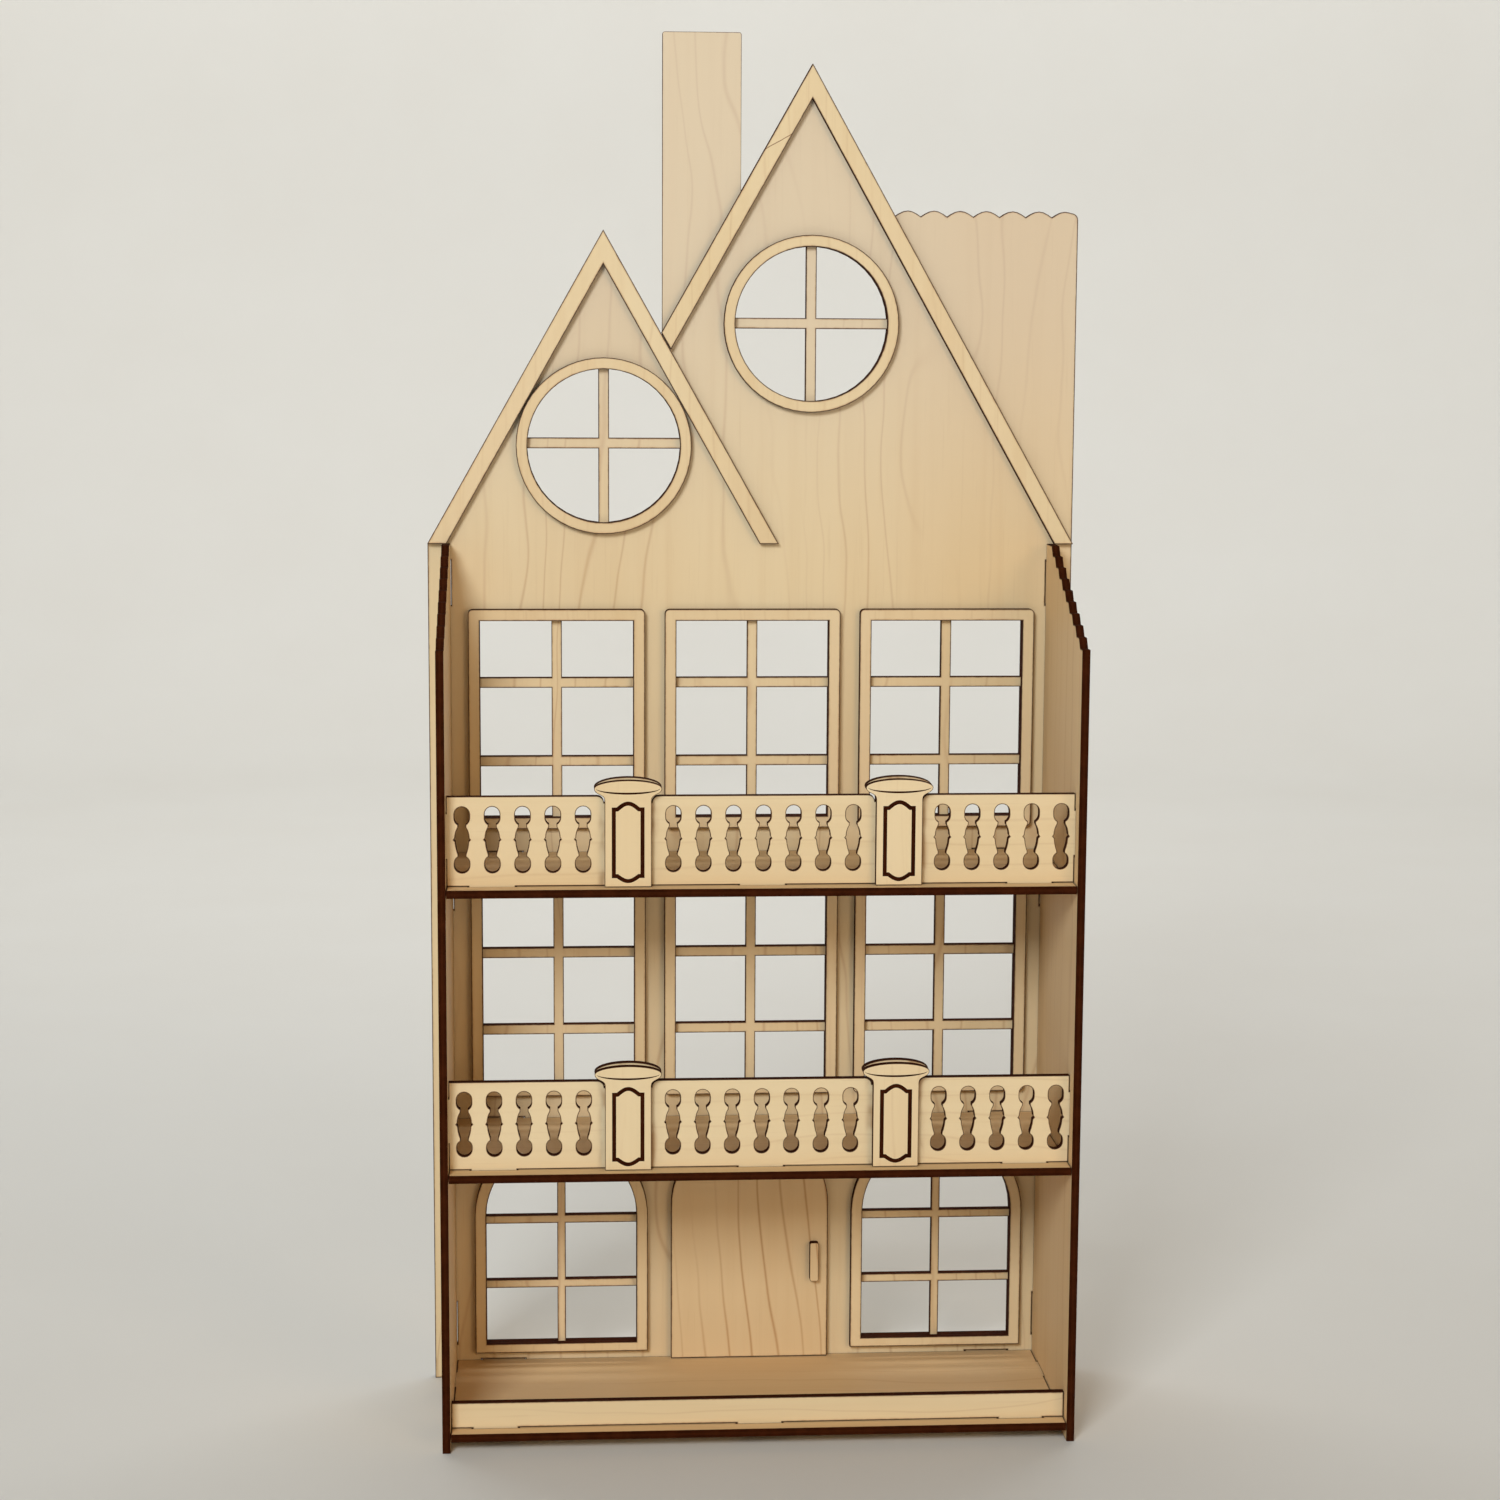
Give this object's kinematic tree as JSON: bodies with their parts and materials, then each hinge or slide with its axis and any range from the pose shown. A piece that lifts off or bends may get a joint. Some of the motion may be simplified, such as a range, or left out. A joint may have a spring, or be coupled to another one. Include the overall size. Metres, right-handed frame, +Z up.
{
  "type": "dollhouse",
  "caption": "Wall-shelf dollhouse of flat plywood boards: gabled back wall with barred windows, open-front storeys, balustrades and a round-topped door.",
  "frame": {"origin": "on the floor, under the middle of the overall box", "axes": "+Z up, -Y towards the open front, +X to the right seen from the front"},
  "size_m": [0.337, 0.1146, 0.71],
  "materials": {
    "plywood": "bare light plywood with charred cut edges"
  },
  "bodies": {
    "root": {"back_panel": "plywood", "left_side": "plywood", "right_side": "plywood", "ground_floor": "plywood", "middle_shelf": "plywood", "upper_shelf": "plywood", "front_rail": "plywood", "lower_balustrade": "plywood", "upper_balustrade": "plywood", "lower_pedestal_left": "plywood", "lower_pedestal_right": "plywood", "upper_pedestal_left": "plywood", "upper_pedestal_right": "plywood", "upper_frame_left": "plywood", "upper_frame_middle": "plywood", "upper_frame_right": "plywood", "middle_frame_left": "plywood", "middle_frame_middle": "plywood", "middle_frame_right": "plywood", "arched_frame_left": "plywood", "arched_frame_right": "plywood", "round_frame_left": "plywood", "round_frame_right": "plywood", "door": "plywood", "door_handle": "plywood", "left_fascia": "plywood", "right_fascia": "plywood"}
  },
  "joints": []
}
